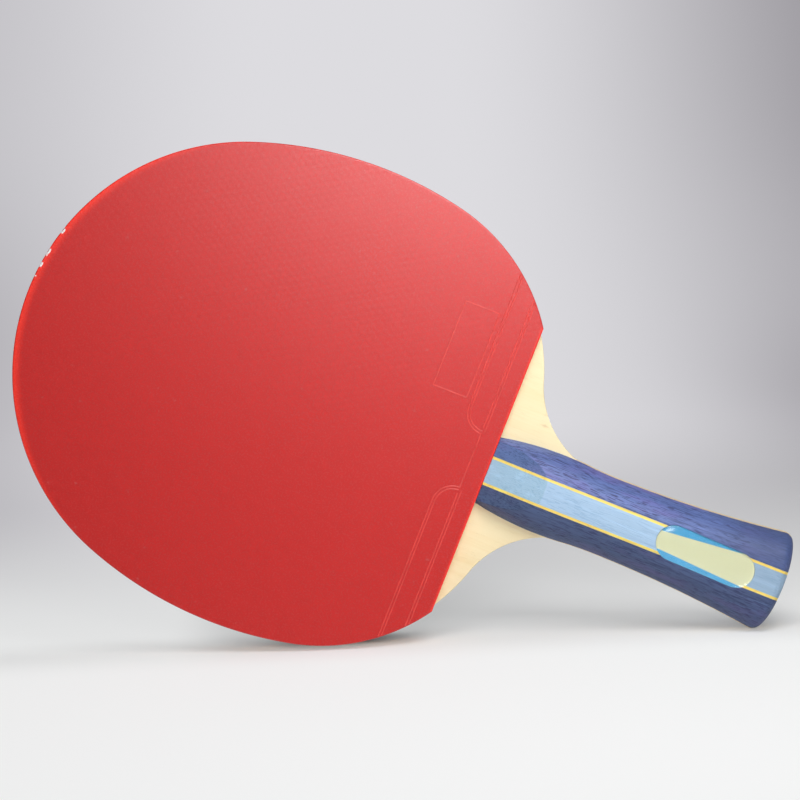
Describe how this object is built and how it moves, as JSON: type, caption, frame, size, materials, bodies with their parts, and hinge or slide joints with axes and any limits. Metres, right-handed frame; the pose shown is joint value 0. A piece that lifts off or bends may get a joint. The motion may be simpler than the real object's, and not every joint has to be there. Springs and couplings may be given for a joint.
{
  "type": "table tennis paddle",
  "caption": "Table tennis paddle: five-ply wooden blade, red and black rubbers on sponge, flared handle with laminated blue and yellow scales",
  "frame": {"origin": "centre of the paddle's overall box: on the handle's centre line, in the middle of the core ply, half way from tip to butt", "axes": "+X along the handle towards the butt; -Y out of the red front face; +Z across the blade, with the paddle on edge and the handle level"},
  "size_m": [0.254, 0.0236, 0.1522],
  "materials": {
    "core_wood": "raw cut edge of light hardwood",
    "middle_veneer": "raw cut edge of veneer",
    "face_veneer": "smooth sanded pale veneer, satin",
    "sponge": "matte open-cell rubber sponge",
    "red_rubber": "smooth satin rubber",
    "black_rubber": "smooth satin rubber",
    "dark_blue_wood": "stained wood, satin lacquer",
    "light_blue_wood": "stained wood, satin lacquer",
    "yellow_wood": "dyed veneer line, satin lacquer",
    "badge_print": "printed film, plain cream with sky-blue bands",
    "clear_resin": "clear domed resin"
  },
  "bodies": {
    "root": {"core_ply": "core_wood", "front_middle_ply": "middle_veneer", "back_middle_ply": "middle_veneer", "front_face_ply": "face_veneer", "back_face_ply": "face_veneer", "front_sponge": "sponge", "back_sponge": "sponge", "front_topsheet": "red_rubber", "back_topsheet": "black_rubber", "front_scale_upper_strip": "dark_blue_wood", "front_scale_upper_line": "yellow_wood", "front_scale_centre_strip": "light_blue_wood", "front_scale_lower_line": "yellow_wood", "front_scale_lower_strip": "dark_blue_wood", "back_scale_upper_strip": "dark_blue_wood", "back_scale_upper_line": "yellow_wood", "back_scale_centre_strip": "light_blue_wood", "back_scale_lower_line": "yellow_wood", "back_scale_lower_strip": "dark_blue_wood", "badge_plate": "badge_print", "badge_lens": "clear_resin"}
  },
  "joints": []
}
